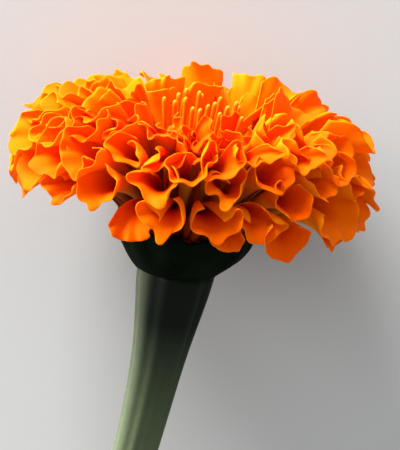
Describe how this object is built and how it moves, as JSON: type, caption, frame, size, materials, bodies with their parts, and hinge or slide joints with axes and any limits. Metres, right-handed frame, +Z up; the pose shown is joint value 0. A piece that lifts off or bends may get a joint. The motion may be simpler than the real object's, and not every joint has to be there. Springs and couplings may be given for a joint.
{
  "type": "cut marigold flower",
  "caption": "Double marigold flower lying on its side: ruffled trumpet petals round a tuft of disc florets, a green cup and a ridged stem.",
  "frame": {"origin": "bottom centre of the bounding box, on the surface that the flower lies on", "axes": "+Y along the stem to its cut end, +Z up; the head faces -Y, tipped up by 15 degrees"},
  "size_m": [0.0654, 0.1094, 0.0618],
  "materials": {
    "petal": "soft satin petal, deep red in the throat and paler at the ruffled edge",
    "inner_petal": "soft satin petal, brighter than the outer ones",
    "cup": "dark green, faintly ribbed and satin",
    "stem": "grey-green, ridged lengthwise, with a dull bloom"
  },
  "bodies": {
    "root": {"stem": "stem", "involucre": "cup", "flower_centre": "inner_petal", "ray_floret_01": "petal", "ray_floret_02": "petal", "ray_floret_03": "petal", "ray_floret_04": "petal", "ray_floret_05": "petal", "ray_floret_06": "petal", "ray_floret_07": "petal", "ray_floret_08": "petal", "ray_floret_09": "petal", "ray_floret_10": "petal", "ray_floret_11": "petal", "ray_floret_12": "petal", "ray_floret_13": "petal", "ray_floret_14": "petal", "ray_floret_15": "petal", "ray_floret_16": "petal", "ray_floret_17": "petal", "ray_floret_18": "petal", "ray_floret_19": "petal", "ray_floret_20": "petal", "ray_floret_21": "petal", "ray_floret_22": "petal", "ray_floret_23": "petal", "ray_floret_24": "petal", "ray_floret_25": "petal", "ray_floret_26": "petal", "ray_floret_27": "petal", "ray_floret_28": "petal", "ray_floret_29": "petal", "ray_floret_30": "petal", "ray_floret_31": "petal", "ray_floret_32": "petal", "ray_floret_33": "petal", "ray_floret_34": "petal", "ray_floret_35": "petal", "ray_floret_36": "petal", "ray_floret_37": "petal", "ray_floret_38": "petal", "ray_floret_39": "petal", "ray_floret_40": "petal", "ray_floret_41": "petal", "ray_floret_42": "petal", "ray_floret_43": "petal", "ray_floret_44": "petal", "ray_floret_45": "petal", "ray_floret_46": "petal", "ray_floret_47": "petal", "ray_floret_48": "petal", "ray_floret_49": "petal", "ray_floret_50": "petal", "ray_floret_51": "petal", "ray_floret_52": "petal", "ray_floret_53": "petal", "ray_floret_54": "petal", "ray_floret_55": "petal", "ray_floret_56": "petal", "ray_floret_57": "petal"}
  },
  "joints": []
}
